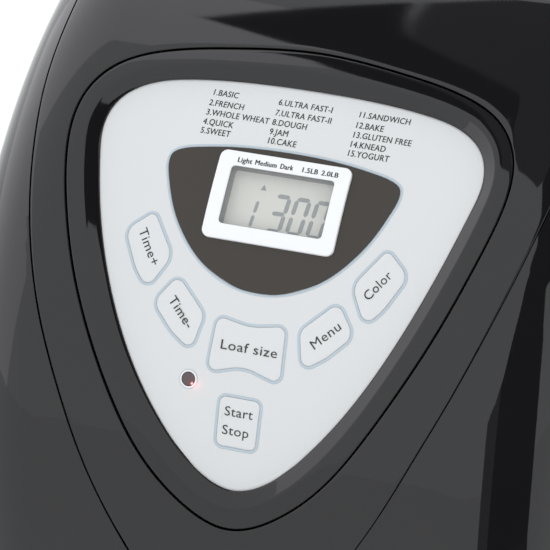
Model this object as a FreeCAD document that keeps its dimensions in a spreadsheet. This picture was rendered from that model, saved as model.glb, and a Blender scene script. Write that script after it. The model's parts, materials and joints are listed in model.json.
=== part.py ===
"""Bread machine: a parametric assembly of separate pieces.

Frame: X to the right, the control panel faces -Y, +Z up, origin on the table under the middle.
All sizes are millimetres and live in the spreadsheet "Sizes".
"""
import FreeCAD, Part
import math
import os

Vector = FreeCAD.Vector
Rotation = FreeCAD.Rotation
Placement = FreeCAD.Placement

doc = FreeCAD.newDocument("bread_machine")
sheet = doc.addObject("Spreadsheet::Sheet", "Sizes")

SIZES = {
    # outer envelope: a side profile with a large front curve, rounded over at both sides
    "half_width": 112, "side_round": 40, "front_curve": 180, "curve_y": 4, "curve_z": 110,
    "rear_y": 176, "rear_round": 50, "shell_bottom": 6, "wall": 2.6, "seam": 0.7,
    # control face, seen along its own normal, tilted back from the horizontal
    "face_tilt": 57, "panel_curve": 176.1, "panel_thick": 2.2, "ring_flange": 4,
    "ring_grow": 0.3, "ring_gap": 0.5,
    "display_tilt": 48, "bezel_width": 46, "bezel_height": 30.4,
    "window_width": 36, "window_height": 20, "sleeve": 3, "shield_thick": 0.4,
    "key_proud": 0.9, "key_gap": 0.3, "key_travel": 0.8, "key_skirt": 1.6,
    "board_level": 157, "board_thick": 1.6, "switch_size": 6, "switch_rise": 3.6,
    "led_radius": 2.1, "led_x": -18.8, "led_up": -34.4,
    # base and feet
    "base_thick": 3, "foot_radius": 11, "foot_x": 78, "foot_y": 138,
    "screw_x": 104, "screw_y": 96, "screw_radius": 1.6, "screw_head": 3.4,
    # lid, its well and its hinge
    "lid_half": 92.4, "lid_front": -51.2, "lid_bottom": 261, "well_half": 93.6,
    "well_front": -52.4, "deck_top": 256, "deck_thick": 2.5, "hinge_back": 43, "hinge_angle": 40,
    "barrel": 7, "recess": 9, "pin_radius": 2, "lug_in": 60, "lug_out": 71,
    "window_half": 45, "window_front": 10, "window_back": 92, "liner_thick": 2.4,
    "scoop_half": 40, "scoop_y": -44, "scoop_z": 287, "scoop_radius": 14,
    # baking chamber and heater
    "oven_y": 55, "oven_half_x": 86, "oven_half_y": 100, "oven_floor": 58, "oven_top": 253.5,
    "oven_corner": 30, "sheet": 1, "heater_rod": 3.2, "heater_z": 67, "heater_half_x": 78.5,
    "heater_half_y": 89, "heater_corner": 24, "lead_x": 20,
    # pan, spindle, paddle
    "pan_half_x": 72, "pan_half_y": 85, "pan_corner": 25, "pan_floor": 74, "pan_rim": 190,
    "pan_wall": 1.5, "pan_draft": 5, "pivot_z": 196, "bail_reach": 45, "bail_rod": 2.5,
    "bail_x": 77, "spindle": 4, "paddle_length": 50,
    # belt drive
    "shaft": 4, "motor_y": -100, "big_wheel": 48, "small_wheel": 9, "belt_low": 20,
    "belt_wide": 8, "belt_thick": 2.4, "belt_gap": 0.15, "bush": 8,
    "stator": 32, "rotor": 20, "motor_low": 40, "motor_high": 92,
    "inlet_x": -56, "inlet_z": 34,
}
for row, (alias, value) in enumerate(SIZES.items(), start=1):
    sheet.set("A%d" % row, alias)
    sheet.set("B%d" % row, str(value))
    sheet.setAlias("B%d" % row, alias)
doc.recompute()

parts = []


def size(alias):
    return float(getattr(sheet, alias))


# ---------------------------------------------------------------- document helpers

def bind(item, **expressions):
    """Bind properties to the sheet; S. stands for the spreadsheet."""
    for name, expression in expressions.items():
        path = {"X": "Placement.Base.x", "Y": "Placement.Base.y", "Z": "Placement.Base.z"}
        item.setExpression(path.get(name, name), str(expression).replace("S.", "Sizes."))
    return item


def turned(item, axis, angle):
    item.Placement = Placement(item.Placement.Base, Rotation(Vector(*axis), angle))
    return item


def block(x, y, z, length, width, height):
    """A box from its lowest corner."""
    return bind(doc.addObject("Part::Box", "Block"), Length=length, Width=width, Height=height,
                X=x, Y=y, Z=z)


def rod(x, y, z, radius, height, axis="Z"):
    """A cylinder from its start, running along +X, +Y or +Z."""
    item = doc.addObject("Part::Cylinder", "Rod")
    if axis == "X":
        turned(item, (0, 1, 0), 90)
    if axis == "Y":
        turned(item, (1, 0, 0), -90)
    return bind(item, Radius=radius, Height=height, X=x, Y=y, Z=z)


def joined(*items):
    item = doc.addObject("Part::MultiFuse", "Joined")
    item.Shapes = list(items)
    return item


def less(base, *tools):
    item = doc.addObject("Part::Cut", "Less")
    item.Base = base
    item.Tool = tools[0] if len(tools) == 1 else joined(*tools)
    return item


def group(*items):
    item = doc.addObject("Part::Compound", "Group")
    item.Links = list(items)
    return item


def name_part(item, label):
    item.Label = label
    parts.append(item)
    return item


def feature(label, shape, place=None):
    """A piece whose shape is worked out with Part's own functions from the sheet."""
    item = doc.addObject("Part::Feature", "Shape")
    item.Shape = placed(shape, place) if place else shape
    return name_part(item, label)


# ---------------------------------------------------------------- shape helpers

def face_place():
    """Local X, Y, Z of the control face: across, up the face, out of it."""
    return Placement(Vector(0, size("curve_y"), size("curve_z")),
                     Rotation(Vector(1, 0, 0), size("face_tilt")))


def display_place():
    return Placement(Vector(0, size("curve_y"), size("curve_z")),
                     Rotation(Vector(1, 0, 0), size("display_tilt")))


def placed(shape, place):
    """A copy of a shape carried into another frame, keeping its own place in that frame."""
    copy = shape.copy()
    copy.Placement = place.multiply(copy.Placement)
    return copy


def grown(half, distance, closed=True):
    """Move the points of a right half, top to bottom, outward along the curve's own normal.

    The foot of the half lies on the middle plane, and so does its head if it is closed."""
    moved = []
    last = len(half) - 1
    for i, (x, y) in enumerate(half):
        before = half[i - 1] if i else (-half[1][0], half[1][1]) if closed else half[0]
        after = half[i + 1] if i < last else (-half[last - 1][0], half[last - 1][1])
        dx = after[0] - before[0]
        dy = after[1] - before[1]
        span = math.hypot(dx, dy)
        moved.append(Vector(x - distance * dy / span, y + distance * dx / span, 0))
    return moved


def smooth_loop(half, distance=0.0):
    """A symmetric closed outline from its right half, level where it crosses the middle."""
    curve = Part.BSplineCurve()
    curve.interpolate(Points=grown(half, distance), InitialTangent=Vector(1, 0, 0),
                      FinalTangent=Vector(-1, 0, 0))
    right = curve.toShape()
    return Part.Wire([right, right.mirror(Vector(0, 0, 0), Vector(1, 0, 0))])


def prism(wire, low, high):
    solid = Part.Face(wire).extrude(Vector(0, 0, high - low))
    solid.translate(Vector(0, 0, low))
    return solid


def drum(radius, half_length=130):
    """A solid cylinder about the local X axis."""
    return Part.makeCylinder(radius, 2 * half_length, Vector(-half_length, 0, 0), Vector(1, 0, 0))


def face_sheet(wire, inner, outer):
    """The part of a curved sheet, between two radii, that lies inside an outline."""
    return prism(wire, 90, 200).common(drum(outer).cut(drum(inner)))


def slab(x_half, y_low, y_high, z_low, z_high):
    return Part.makeBox(2 * x_half, y_high - y_low, z_high - z_low, Vector(-x_half, y_low, z_low))


def rounded_box(half_x, half_y, radius, low, high, centre_y=0.0, draft=0.0):
    """A box with round upright corners; draft narrows it towards the bottom."""
    wires = []
    for level, inset in ((low, draft), (high, 0.0)):
        x = half_x - inset
        y = half_y - inset
        r = radius - 0.5 * inset
        base = Part.makeBox(2 * x, 2 * y, 1, Vector(-x, centre_y - y, level))
        upright = [e for e in base.Edges if abs(e.BoundBox.ZLength) > 0.5]
        bottom = [f for f in base.makeFillet(r, upright).Faces
                  if f.BoundBox.ZLength < 1e-4 and abs(f.CenterOfMass.z - level) < 1e-3]
        wires.append(bottom[0].OuterWire)
    return Part.makeLoft(wires, True, True)


def envelope(depth):
    """The outer form, offset inwards by depth; inner copies run down past the open bottom."""
    front = size("front_curve") - depth
    corner = size("rear_round") - depth
    cy = size("curve_y")
    cz = size("curve_z")
    bottom = size("shell_bottom") - (20 if depth else 0)
    back = size("rear_y") - depth
    top = cz + front
    low_corner = cz + size("front_curve") - size("rear_round")
    mid = math.sqrt(0.5)
    a = Vector(0, cy - front, bottom)
    b = Vector(0, cy - front, cz)
    c = Vector(0, cy, top)
    d = Vector(0, back - corner, top)
    e = Vector(0, back, low_corner)
    f = Vector(0, back, bottom)
    front_mid = Vector(0, cy - front * mid, cz + front * mid)
    rear_mid = Vector(0, back - corner + corner * mid, low_corner + corner * mid)
    edges = [Part.LineSegment(a, b), Part.Arc(b, front_mid, c), Part.LineSegment(c, d),
             Part.Arc(d, rear_mid, e), Part.LineSegment(e, f), Part.LineSegment(f, a)]
    wire = Part.Wire([g.toShape() for g in edges])
    half = size("half_width") - depth
    solid = Part.Face(wire).extrude(Vector(2 * half, 0, 0))
    solid.translate(Vector(-half, 0, 0))
    side_edges = [g for g in solid.Edges
                  if g.BoundBox.XLength < 1e-3 and g.BoundBox.ZMax > bottom + 1]
    return solid.makeFillet(size("side_round") - depth, side_edges)


COVER_HALF = [(92.6, 150), (92.6, 110), (92.8, 85), (92.8, 68), (91.8, 54), (89.2, 38), (85.9, 22),
              (81.8, 6), (77, -9.5), (70.5, -27), (62.5, -45), (53.5, -63.5), (42, -82.5),
              (30, -99), (17.5, -114), (0, -123)]
RING_HALF = [(0, 79.8), (30, 77), (52, 72.6), (67, 65.2), (74.2, 55), (76, 44), (74.4, 31),
             (70, 14.5), (63.9, -3.4), (55.5, -22.5), (45, -42), (31.5, -61.2), (17, -73.6),
             (0, -79.8)]
PANEL_HALF = [(0, 67.4), (22, 66.9), (42, 64.9), (54.5, 61.6), (63.6, 54.5), (66.5, 45), (65, 34.6),
              (60.6, 18), (54, -1.5), (46, -19.8), (36.3, -36.9), (25, -51.8), (12.6, -63.2),
              (0, -67.7)]
SHIELD_HALF = [(0, 44.7), (22, 43.5), (31.5, 42.0), (37.3, 40.4), (39.7, 38.6), (40.2, 35.8),
               (38.9, 30.6), (34.9, 21), (27.6, 10.3), (20, 3.4), (10.2, -1.4), (0, -3)]
# key outlines: the corners of a polygon and the radius at each
TIME_KEY = [(40.7, 18.2, 2.1), (49.5, 10.5, 4.8), (43.2, -1.8, 19), (38, -7.8, 2.8), (31.4, 4.4, 6)]
MENU_KEY = [(28, -1.4, 2.9), (35.1, -11.6, 4.5), (26.9, -20.2, 19), (19.4, -25.3, 2.6),
            (16.6, -12.8, 4.5)]
LOAF_KEY = [(11.9, -12.2, 2.6), (12.8, -31.2, 2.6), (-0.6, -27.3, 14), (-12.9, -31, 2.6),
            (-12, -12.3, 2.6), (-0.3, -14.4, 20)]
START_KEY = [(7.1, -37.7, 2.2), (6.9, -53.8, 2.2), (-6.9, -53.8, 2.2), (-7.1, -37.7, 2.2)]


def flipped(corners):
    """The mirror image of an outline, still clockwise."""
    return [(-x, y, r) for x, y, r in reversed(corners)]


KEYS = {
    "time_plus_key": flipped(TIME_KEY), "time_minus_key": flipped(MENU_KEY),
    "color_key": TIME_KEY, "menu_key": MENU_KEY,
    "loaf_size_key": LOAF_KEY, "start_stop_key": START_KEY,
}


def rounded_polygon(corners, grow=0.0):
    """A polygon whose corners are tangent arcs, then offset outwards by grow."""
    edges = []
    ends = []
    for i, (x, y, radius) in enumerate(corners):
        point = Vector(x, y, 0)
        before = Vector(*corners[i - 1][:2], 0) - point
        after = Vector(*corners[(i + 1) % len(corners)][:2], 0) - point
        before.normalize()
        after.normalize()
        half = before.getAngle(after) / 2
        reach = radius / math.tan(half)
        inward = (before + after).normalize()
        near = point + inward * (radius / math.sin(half) - radius)
        edges.append(Part.Arc(point + before * reach, near, point + after * reach).toShape())
        ends.append((point + before * reach, point + after * reach))
    sides = []
    for i, arc in enumerate(edges):
        sides.append(arc)
        sides.append(Part.LineSegment(ends[i][1], ends[(i + 1) % len(ends)][0]).toShape())
    wire = Part.Wire(sides)
    return wire.makeOffset2D(grow) if grow else wire


def middle(points):
    return (sum(p[0] for p in points) / len(points), sum(p[1] for p in points) / len(points))


def cover_prism(grow):
    """The front cover's outline, carried through the wall along the face's normal."""
    right = grown(COVER_HALF, grow, False)
    left = [Vector(-p.x, p.y, 0) for p in reversed(right[:-1])]
    curve = Part.BSplineCurve()
    curve.interpolate(right + left)
    closing = Part.LineSegment(left[-1], right[0])
    return placed(prism(Part.Wire([curve.toShape(), closing.toShape()]), 112, 215), face_place())


def hinge_centre():
    angle = math.radians(size("hinge_angle"))
    corner_y = size("rear_y") - size("rear_round")
    corner_z = size("curve_z") + size("front_curve") - size("rear_round")
    return (corner_y + size("hinge_back") * math.cos(angle),
            corner_z + size("hinge_back") * math.sin(angle))


def across(radius, half_length, y, z):
    """A cylinder along X, centred on the middle plane."""
    return Part.makeCylinder(radius, 2 * half_length, Vector(-half_length, y, z), Vector(1, 0, 0))


# ---------------------------------------------------------------- housing

def body_shell():
    """Both sides and the rear in one moulding, with the lid's well and a ledge for the cover."""
    wall = size("wall")
    gap = size("seam")
    hy, hz = hinge_centre()
    outer = envelope(0)
    shell = outer.cut(envelope(wall))
    well = slab(size("well_half"), size("well_front"), hy, 200, 320)
    front = slab(130, -200, size("well_front") + 0.5, 0, 320)
    shell = shell.cut(cover_prism(gap).common(front)).cut(well)
    shell = shell.cut(across(size("recess"), size("well_half"), hy, hz))
    shell = shell.cut(slab(size("well_half"), hy - 1, hy + 2.2, hz + 5, 320))
    ledge = envelope(wall + 0.3).cut(envelope(wall + 2.3))
    strip = cover_prism(5).cut(cover_prism(-6))
    strip = strip.common(slab(130, -200, size("well_front") - 3, 0, 320))
    bridge = envelope(wall - 0.3).cut(envelope(wall + 0.5))
    bridge = bridge.common(cover_prism(5).cut(cover_prism(gap)).common(front))
    deck = size("deck_top")
    flange = Part.makeBox(wall, hy - size("well_front") + 6, 60,
                          Vector(size("well_half"), size("well_front"), deck))
    flanges = flange.fuse(flange.mirror(Vector(0, 0, 0), Vector(1, 0, 0))).common(outer)
    trough = across(size("recess") + 2, size("well_half") + wall, hy, hz)
    trough = trough.cut(across(size("recess"), size("well_half"), hy, hz)).common(outer)
    trough = trough.common(slab(130, hy, 200, 200, 320))
    trough = trough.cut(slab(size("well_half"), hy - 1, hy + 2.2, hz + 5, 320))
    shell = shell.fuse([ledge.common(strip), bridge, flanges, trough])
    for side in (-1, 1):
        for along in (-1, 1):
            x = side * size("screw_x")
            y = along * size("screw_y")
            shell = shell.fuse(Part.makeCylinder(6, 18, Vector(x, y, 9)))
            shell = shell.cut(Part.makeCylinder(size("screw_radius"), 14, Vector(x, y, 5)))
        for i in range(9):
            slot = Part.makeBox(12, 3, 34, Vector(-6, -1.5, 0))
            slot.translate(Vector(side * size("half_width"), 58 + 8 * i, 44))
            shell = shell.cut(slot)
    for i in range(11):
        shell = shell.cut(Part.makeBox(3, 12, 30, Vector(-41.5 + 8 * i, 168, 60)))
    gland = Part.makeCylinder(7, 20, Vector(size("inlet_x"), 160, size("inlet_z")), Vector(0, 1, 0))
    feature("body_shell", shell.cut(gland).common(outer))


def front_cover():
    """The V shaped centre moulding that carries the ring and the panel."""
    wall = size("wall")
    outer = envelope(0)
    shell = outer.cut(envelope(wall)).common(cover_prism(0))
    shell = shell.common(slab(130, -200, size("well_front") - 0.1, 0, 320))
    lip = slab(91.5, size("well_front") - 2.7, size("well_front") - 0.1, size("deck_top"), 320)
    shell = shell.fuse(lip.common(outer))
    hole = placed(prism(smooth_loop(RING_HALF, size("ring_grow") + size("ring_gap")), 90, 215), face_place())
    feature("front_cover", shell.cut(hole))


def bezel_ring():
    """A glossy ring: a round land at the cover's level, flaring down to the sunk panel."""
    outer = size("front_curve") - 0.4
    land = face_sheet(smooth_loop(RING_HALF, size("ring_grow")), size("panel_curve") - 1, outer)
    throat = prism(smooth_loop(PANEL_HALF, 0.2), 90, 215)
    collar_wire = smooth_loop(PANEL_HALF, 2.4)
    collar = face_sheet(collar_wire, size("panel_curve") - 3.6, size("panel_curve"))
    flange_wire = smooth_loop(RING_HALF, size("ring_flange"))
    low = size("front_curve") - size("wall") - 2.2
    flange = placed(face_sheet(flange_wire, low, low + 1.9), face_place())
    flange = flange.common(envelope(size("wall") + 0.3))
    ring = placed(land.fuse(collar), face_place()).fuse(flange)
    feature("bezel_ring", ring.cut(placed(throat, face_place())))


def centred_box(width, height, low, high):
    return Part.makeBox(width, height, high - low, Vector(-width / 2, -height / 2, low))


def display_opening():
    """The hole that the display's sleeve drops through."""
    side = 2 * size("sleeve") + 0.4
    box = centred_box(size("window_width") + side, size("window_height") + side, 150, 210)
    return placed(box, display_place())


def control_panel():
    """The white panel with its openings for the display, the lamp and the keys."""
    outer = size("panel_curve")
    panel = face_sheet(smooth_loop(PANEL_HALF), outer - size("panel_thick"), outer)
    for points in KEYS.values():
        panel = panel.cut(prism(rounded_polygon(points, size("key_gap")), 150, 200))
    lamp = Part.makeCylinder(size("led_radius") + 0.1, 60,
                             Vector(size("led_x"), size("led_up"), 150))
    panel = panel.cut(lamp)
    feature("control_panel", placed(panel, face_place()).cut(display_opening()))


def display_shield():
    """The dark smoked plate round the display."""
    outer = size("panel_curve")
    plate = face_sheet(smooth_loop(SHIELD_HALF), outer, outer + size("shield_thick"))
    feature("display_shield", placed(plate, face_place()).cut(display_opening()))


def display():
    """Bezel, clear lens and display module, square to their own place on the curve."""
    face = size("panel_curve")
    wide = size("window_width")
    tall = size("window_height")
    sleeve = 2 * size("sleeve")
    rim = centred_box(size("bezel_width"), size("bezel_height"), face - 1, face + 1.9)
    corners = [e for e in rim.Edges if e.BoundBox.ZLength > 1]
    rim = rim.makeFillet(2.2, corners).cut(drum(face + size("shield_thick"))).common(drum(face + 1.6))
    body = centred_box(wide + sleeve, tall + sleeve, face - 8, face + 0.6)
    bezel = rim.fuse(body).cut(centred_box(wide, tall, face - 9, face + 9))
    feature("lcd_bezel", bezel, display_place())
    feature("lcd_lens", centred_box(wide - 0.1, tall - 0.1, face - 0.6, face + 0.4), display_place())
    feature("lcd_module", centred_box(wide - 0.1, tall - 0.1, face - 6.4, face - 3.4),
            display_place())


def led_lens():
    surface = math.sqrt(size("panel_curve") ** 2 - size("led_up") ** 2)
    foot = Vector(size("led_x"), size("led_up"), surface - 8.6)
    lens = Part.makeCylinder(size("led_radius"), 7.8, foot)
    cap = Part.makeCylinder(size("led_radius") - 0.5, 8.6, foot)
    flange = Part.makeCylinder(size("led_radius") + 0.9, 1, foot)
    feature("led_lens", lens.fuse([cap, flange]), face_place())


def keys():
    """Six keys, each a curved cap with a skirt behind the panel and a post for its switch."""
    face = size("panel_curve")
    back = face - size("panel_thick") - size("key_travel") - size("key_skirt")
    for label, points in KEYS.items():
        cap = face_sheet(rounded_polygon(points), back - 0.5, face + size("key_proud"))
        skirt = face_sheet(rounded_polygon(points, 1.0), back - 1.2, back + size("key_skirt") - 0.6)
        x, y = middle(points)
        floor = size("board_level") + size("switch_rise") + 0.9
        post = Part.makeCylinder(2.2, 20, Vector(x, y, floor))
        post = post.common(drum(face - 2))
        feature(label, cap.fuse([skirt, post]), face_place())


def control_board():
    """The board behind the panel and its six push switches."""
    level = size("board_level")
    thick = size("board_thick")
    board = Part.makeBox(100, 104, thick, Vector(-50, -58, level - thick))
    corner = [e for e in board.Edges if e.BoundBox.ZLength > 1]
    feature("control_board", board.makeFillet(4, corner), face_place())
    side = size("switch_size")
    switches = []
    for points in KEYS.values():
        x, y = middle(points)
        can = Part.makeBox(side, side, size("switch_rise") - 0.6,
                           Vector(x - side / 2, y - side / 2, level))
        button = Part.makeCylinder(1.7, size("switch_rise"), Vector(x, y, level))
        switches.append(can.fuse(button))
    feature("key_switches", Part.makeCompound(switches), face_place())


def base():
    """Base plate with motor posts, feet and the four screws that hold it."""
    low = size("shell_bottom")
    plate = envelope(size("wall") + 0.3).common(slab(130, -200, 200, low, low + size("base_thick")))
    for side in (-1, 1):
        for along in (-1, 1):
            x = side * size("screw_x")
            y = along * size("screw_y")
            plate = plate.cut(Part.makeCylinder(size("screw_radius") + 0.1, 9, Vector(x, y, 3)))
            post = Vector(side * 42, size("motor_y") + 32 * along, low)
            plate = plate.fuse(Part.makeCylinder(5, 28, post))
    for i in range(9):
        plate = plate.cut(Part.makeBox(4, 40, 9, Vector(-34 + 8 * i, -20, 3)))
    feature("base_plate", plate)
    feet = []
    screws = []
    for side in ("-", ""):
        for along in ("-", ""):
            foot = rod(side + "S.foot_x", along + "S.foot_y", 0, "S.foot_radius", "S.shell_bottom")
            feet.append(foot)
            head = rod(side + "S.screw_x", along + "S.screw_y", "S.shell_bottom - 2",
                       "S.screw_head", 2)
            shank = rod(side + "S.screw_x", along + "S.screw_y", "S.shell_bottom - 1",
                        "S.screw_radius", 13)
            screws.append(joined(head, shank))
    name_part(group(*feet), "rubber_feet")
    name_part(group(*screws), "base_screws")


def top_deck():
    """The frame under the lid, round the mouth of the chamber."""
    top = size("deck_top")
    low = top - size("deck_thick")
    hy = hinge_centre()[0]
    plate = slab(size("well_half") + 1.5, size("well_front"), hy + 6, low, top)
    mouth = rounded_box(size("oven_half_x") - 1, size("oven_half_y") - 1, size("oven_corner") - 1,
                        low - 1, top + 1, size("oven_y"))
    feature("top_deck", plate.common(envelope(size("wall") + 0.2)).cut(mouth))


# ---------------------------------------------------------------- lid

def window_box(grow, low, high, corner=12):
    """A rounded slab in line with the lid's window."""
    back = size("window_back")
    front = size("window_front")
    return rounded_box(size("window_half") + grow, (back - front) / 2 + grow, corner, low, high,
                       (back + front) / 2)


def lid_hinge_cuts():
    """Room for the lugs and a bore for each pin, along the hinge's axis."""
    hy, hz = hinge_centre()
    wide = size("lug_out") - size("lug_in") + 1.2
    cuts = []
    for side in (-1, 1):
        x = side * (size("lug_in") + size("lug_out")) / 2
        cuts.append(Part.makeCylinder(size("recess") + 0.4, wide, Vector(x - wide / 2, hy, hz),
                                      Vector(1, 0, 0)))
        cuts.append(Part.makeCylinder(size("pin_radius") + 0.05, 33, Vector(x - 16.5, hy, hz),
                                      Vector(1, 0, 0)))
    return cuts


def lid_outer():
    """The lid's moulding: a deep skin with a scoop, a window frame, vents and a hinge barrel."""
    hy, hz = hinge_centre()
    half = size("lid_half")
    wall = size("wall")
    front = size("lid_front")
    low = size("lid_bottom")
    outer = envelope(0)
    block_out = slab(half, front, hy, low, 320)
    body = block_out.common(outer).fuse(across(size("barrel"), half, hy, hz).common(outer))
    hollow = slab(half - wall, front + wall, hy - size("barrel") - 3, low - 1, 320)
    body = body.cut(hollow.common(envelope(wall)))
    bowl = across(size("scoop_radius") + wall, size("scoop_half"), size("scoop_y"), size("scoop_z"))
    body = body.fuse(bowl.common(outer).common(block_out))
    body = body.cut(across(size("scoop_radius"), size("scoop_half") - wall,
                           size("scoop_y"), size("scoop_z")))
    body = body.fuse(window_box(2, low, 320, 14).common(outer)).cut(window_box(0, 200, 320))
    body = body.cut(lid_hinge_cuts())
    for i in range(7):
        body = body.cut(Part.makeBox(4, 22, 40, Vector(-44 + 14 * i, 108, 272)))
    feature("lid_outer", body)


def lid_window():
    """An outer pane in line with the skin and an inner pane under the liner."""
    low = size("lid_bottom") - size("liner_thick")
    inner_pane = window_box(5, low - 1.2, low)
    outer_pane = window_box(-0.2, 200, 320, 11.8).common(envelope(0).cut(envelope(2.4)))
    feature("lid_window", Part.makeCompound([inner_pane, outer_pane]))


def lid_liner():
    """The metal liner and the six screws that hold it."""
    low = size("lid_bottom")
    head_low = low - size("liner_thick") - 1.2
    liner = rounded_box(88, 97.5, 20, low - size("liner_thick"), low, 48)
    liner = liner.cut(window_box(0, 200, 320))
    screws = []
    for x in (-74, 74):
        for y in (-32, 50, 128):
            liner = liner.cut(Part.makeCylinder(1.7, 9, Vector(x, y, low - 5)))
            head = Part.makeCylinder(3, 1.2, Vector(x, y, head_low))
            shank = Part.makeCylinder(1.6, size("liner_thick") + 1.2, Vector(x, y, head_low))
            screws.append(head.fuse(shank))
    feature("lid_liner", liner)
    feature("lid_screws", Part.makeCompound(screws))


def lid_gasket():
    low = size("deck_top") + 0.3
    high = size("lid_bottom") - size("liner_thick")
    bead = rounded_box(86.5, 96.5, 19, low, high, 48)
    feature("lid_gasket", bead.cut(rounded_box(82.5, 92.5, 15, low - 1, high + 1, 48)))


def lid_handle():
    """The finger bar across the front of the scoop."""
    radius = size("front_curve")
    bar = drum(radius - 0.3, size("scoop_half") - size("wall")).cut(drum(radius - 6, 60))
    wedge = Part.makeBox(120, 9, 60, Vector(-60, 0, 140))
    wedge.Placement = Placement(Vector(0, 0, 0), Rotation(Vector(1, 0, 0), 17.2))
    bar = bar.common(wedge)
    bar.translate(Vector(0, size("curve_y"), size("curve_z")))
    feature("lid_handle", bar.common(slab(60, size("lid_front") + 0.2, 0, 200, 320)))


def hinge():
    """Two lugs that stand on the deck and the two pins that the lid turns on."""
    hy, hz = hinge_centre()
    lugs = []
    pins = []
    long = size("lug_out") - size("lug_in")
    for side in (-1, 1):
        x = side * (size("lug_in") + size("lug_out")) / 2 - long / 2
        lug = Part.makeCylinder(6.4, long, Vector(x, hy, hz), Vector(1, 0, 0))
        web = Part.makeBox(long, 12.8, hz - size("deck_top"), Vector(x, hy - 6.4, size("deck_top")))
        bore = Part.makeCylinder(size("pin_radius"), long, Vector(x, hy, hz), Vector(1, 0, 0))
        trough = across(size("recess") + 2, 120, hy, hz).common(slab(130, hy, 200, 200, 320))
        web = web.cut(trough)
        lugs.append(lug.fuse(web).cut(bore))
        start = side * 65.5 - 15.5
        pins.append(Part.makeCylinder(size("pin_radius"), 31, Vector(start, hy, hz), Vector(1, 0, 0)))
    feature("hinge_lugs", Part.makeCompound(lugs))
    feature("hinge_pins", Part.makeCompound(pins))


# ---------------------------------------------------------------- chamber

def oven_chamber():
    """Sheet metal baking chamber with a rim under the deck."""
    floor = size("oven_floor")
    top = size("oven_top")
    sheet_thick = size("sheet")
    outer = rounded_box(size("oven_half_x"), size("oven_half_y"), size("oven_corner"), floor, top,
                        size("oven_y"))
    inner = rounded_box(size("oven_half_x") - sheet_thick, size("oven_half_y") - sheet_thick,
                        size("oven_corner") - sheet_thick, floor + sheet_thick, top + 5,
                        size("oven_y"))
    rim = rounded_box(size("oven_half_x") + 5, size("oven_half_y") + 4, size("oven_corner") + 4,
                      top - sheet_thick, top, size("oven_y"))
    shape = outer.fuse(rim).cut(inner)
    shape = shape.cut(Part.makeCylinder(11, 20, Vector(0, size("oven_y"), floor - 5)))
    front = size("oven_y") - size("oven_half_y")
    for x in (-size("lead_x"), size("lead_x")):
        hole = Part.makeCylinder(6, 12, Vector(x, front - 6, size("heater_z")), Vector(0, 1, 0))
        shape = shape.cut(hole)
    probe = Part.makeCylinder(3.1, 12, Vector(45, front - 6, 104), Vector(0, 1, 0))
    feature("oven_chamber", shape.cut(probe))


def chamber_posts():
    posts = []
    base_top = "S.shell_bottom + S.base_thick"
    tall = "S.oven_floor - S.shell_bottom - S.base_thick"
    for side in ("-", ""):
        for y in (-28, 138):
            posts.append(rod(side + "68", y, base_top, 5, tall))
    name_part(group(*posts), "chamber_posts")


def heater():
    """A tubular element round the foot of the pan, its insulators and its fixing clips."""
    x = size("heater_half_x")
    y = size("heater_half_y")
    r = size("heater_corner")
    z = size("heater_z")
    cy = size("oven_y")
    lead = size("lead_x")
    bend = 6
    mid = math.sqrt(0.5)
    front = cy - y
    back = cy + y
    start = front - 26

    def corner(px, py, ax, ay, bx, by, radius):
        """An arc from direction a to direction b about (px, py)."""
        return Part.Arc(Vector(px + radius * ax, py + radius * ay, z),
                        Vector(px + radius * mid * (ax + bx), py + radius * mid * (ay + by), z),
                        Vector(px + radius * bx, py + radius * by, z))

    def run(x0, y0, x1, y1):
        return Part.LineSegment(Vector(x0, y0, z), Vector(x1, y1, z))

    path = [run(lead, start, lead, front - bend),
            corner(lead + bend, front - bend, -1, 0, 0, 1, bend),
            run(lead + bend, front, x - r, front),
            corner(x - r, front + r, 0, -1, 1, 0, r),
            run(x, front + r, x, back - r),
            corner(x - r, back - r, 1, 0, 0, 1, r),
            run(x - r, back, -x + r, back),
            corner(-x + r, back - r, 0, 1, -1, 0, r),
            run(-x, back - r, -x, front + r),
            corner(-x + r, front + r, -1, 0, 0, -1, r),
            run(-x + r, front, -lead - bend, front),
            corner(-lead - bend, front - bend, 0, 1, 1, 0, bend),
            run(-lead, front - bend, -lead, start)]
    spine = Part.Wire([g.toShape() for g in path])
    section = Part.Wire([Part.Circle(Vector(lead, start, z), Vector(0, 1, 0),
                                     size("heater_rod")).toShape()])
    feature("heater_element", spine.makePipeShell([section], True, True))
    wall_y = cy - size("oven_half_y")
    bushes = []
    for side in (-1, 1):
        bush = Part.makeCylinder(6, 9, Vector(side * lead, wall_y - 6, z), Vector(0, 1, 0))
        collar = Part.makeCylinder(8.5, 4, Vector(side * lead, wall_y - 6, z), Vector(0, 1, 0))
        bore = Part.makeCylinder(size("heater_rod"), 12, Vector(side * lead, wall_y - 7, z),
                                 Vector(0, 1, 0))
        bushes.append(bush.fuse(collar).cut(bore))
    feature("heater_insulators", Part.makeCompound(bushes))
    clips = []
    for side in (-1, 1):
        for along in (-45, 45):
            leg = Part.makeBox(8, 8, z - size("heater_rod") - size("oven_floor") - 1,
                               Vector(side * x - 4, cy + along - 4, size("oven_floor") + 1))
            clips.append(leg)
    feature("heater_clips", Part.makeCompound(clips))


def temperature_probe():
    wall_y = size("oven_y") - size("oven_half_y")
    tip = Part.makeCylinder(3, 16, Vector(45, wall_y - 10, 104), Vector(0, 1, 0))
    nose = Part.makeSphere(3, Vector(45, wall_y + 6, 104))
    flange = Part.makeCylinder(7, 2, Vector(45, wall_y - 2, 104), Vector(0, 1, 0))
    feature("temperature_probe", tip.fuse([nose, flange]))


# ---------------------------------------------------------------- pan

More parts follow.
